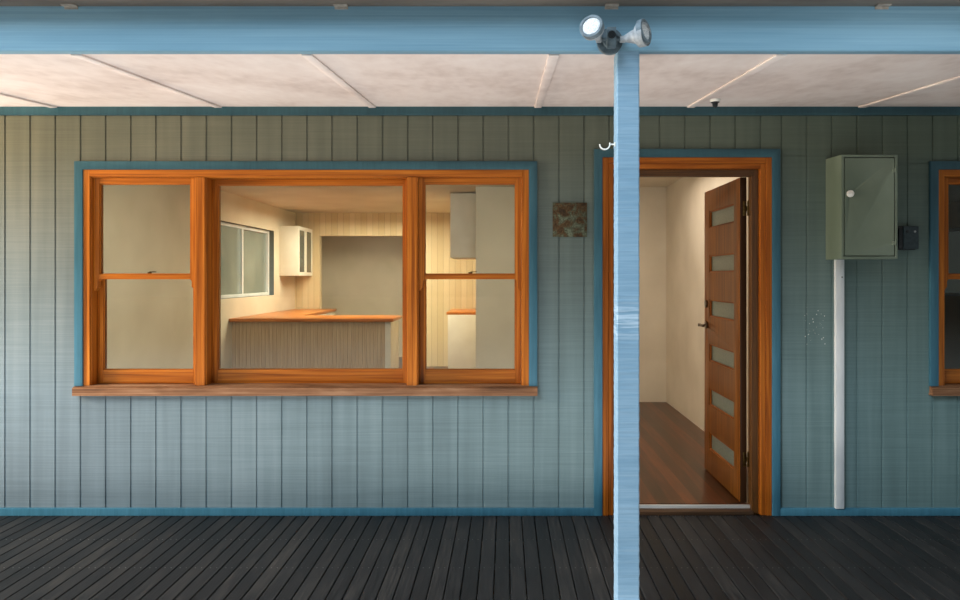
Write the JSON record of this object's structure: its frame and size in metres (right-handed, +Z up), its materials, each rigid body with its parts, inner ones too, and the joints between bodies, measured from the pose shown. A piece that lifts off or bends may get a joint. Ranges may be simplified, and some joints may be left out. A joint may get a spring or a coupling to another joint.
{
  "type": "beach house",
  "caption": "Single-storey timber house with a full-width verandah, cedar sash windows, a glazed entry door that swings and a low ribbed roof.",
  "frame": {"origin": "centre of the whole house's box, on the ground", "axes": "+X to the right along the front seen from outside, +Y from the front to the back, +Z up"},
  "size_m": [9.62, 10.826, 3.3191],
  "materials": {
    "cladding": "painted grooved sheet, low sheen",
    "blue_trim": "painted boards, satin",
    "pale_blue_timber": "painted sawn timber",
    "cedar": "clear finished cedar",
    "cedar_door": "clear finished cedar",
    "clear_glass": "clear float glass",
    "door_glass": "obscure glass",
    "brass": "satin",
    "satin_metal": "satin",
    "white_metal": "powder coated",
    "threshold": "mill finish",
    "deck": "dark stained boards",
    "framing": "sawn treated pine",
    "pile": "sawn treated timber",
    "base": "painted boards",
    "floor": "polished hardwood",
    "ceiling": "painted sheet",
    "gutter": "painted steel",
    "gutter_clip": "painted strap",
    "roof_metal": "coated ribbed steel",
    "black_plastic": "matt",
    "meter_grey": "painted sheet metal",
    "conduit": "painted folded cover",
    "plaque": "weathered metal",
    "lining": "painted lining",
    "kitchen_white": "painted board",
    "bench_timber": "oiled timber"
  },
  "bodies": {
    "house": {"piles": "pile", "floor_frame": "framing", "floor_boards": "floor", "base_boards": "base", "deck_frame": "framing", "deck_boards": "deck", "front_wall_left": "cladding", "front_wall_right": "cladding", "front_wall_over_door": "cladding", "side_wall_left": "cladding", "side_wall_right": "cladding", "back_wall": "cladding", "wall_trims": "blue_trim", "window_surrounds": "blue_trim", "door_surround": "blue_trim", "window_frames": "cedar", "upper_sashes": "cedar", "lower_sashes": "cedar", "fixed_lights": "cedar", "front_window_glass": "clear_glass", "sash_locks": "brass", "side_window_frames": "white_metal", "side_window_glass": "clear_glass", "door_frame": "cedar", "door_threshold": "threshold", "frame_hinges": "brass", "verandah_posts": "pale_blue_timber", "verandah_beam": "pale_blue_timber", "verandah_ceiling": "ceiling", "ceiling_strips": "ceiling", "gutters": "gutter", "gutter_clips": "gutter_clip", "floodlight_mount": "satin_metal", "cup_hook": "white_metal", "ceiling_dome": "black_plastic", "meter_box": "meter_grey", "meter_conduit": "conduit", "key_safe": "black_plastic", "wall_plaque": "plaque", "roof_front": "roof_metal", "roof_back": "roof_metal", "ridge_cap": "roof_metal", "barge_boards": "blue_trim", "room_ceiling": "lining", "entry_partition": "lining", "living_partition": "lining", "kitchen_partition": "lining", "hall_partition": "lining", "kitchen_cabinets": "kitchen_white", "bench_tops": "bench_timber"},
    "front_door": {"door_leaf": "cedar_door", "door_glass": "door_glass", "leaf_hinges": "brass", "door_deadlock": "satin_metal"},
    "lever": {"door_lever": "satin_metal"},
    "meter_door": {"meter_box_door": "meter_grey"},
    "meter_latch": {"meter_knob": "black_plastic"},
    "lamp_left": {"left_lamp": "satin_metal"},
    "lamp_right": {"right_lamp": "satin_metal"}
  },
  "joints": [
    {"name": "front_door_swing", "type": "hinge", "parent": "house", "child": "front_door", "pos_m": [0.133, -3.625, 0.226], "axis": [0, 0, 1], "range_deg": [-15, 90]},
    {"name": "lever_turn", "type": "hinge", "parent": "front_door", "child": "lever", "pos_m": [0.085, -2.87, 1.27], "axis": [1, 0, 0], "range_deg": [0, 45], "stiffness_Nm_per_rad": 2, "springref_deg": -22.92},
    {"name": "meter_door_swing", "type": "hinge", "parent": "house", "child": "meter_door", "pos_m": [0.862, -3.963, 1.716], "axis": [0, 0, 1], "range_deg": [0, 110]},
    {"name": "meter_latch_turn", "type": "hinge", "parent": "meter_door", "child": "meter_latch", "pos_m": [0.604, -3.958, 2.087], "axis": [0, 1, 0], "range_deg": [0, 90]},
    {"name": "left_lamp_tilt", "type": "hinge", "parent": "house", "child": "lamp_left", "pos_m": [-0.998, -5.304, 2.531], "axis": [1, 0, 0], "range_deg": [-30, 35]},
    {"name": "right_lamp_tilt", "type": "hinge", "parent": "house", "child": "lamp_right", "pos_m": [-0.906, -5.304, 2.531], "axis": [1, 0, 0], "range_deg": [-30, 35]}
  ]
}
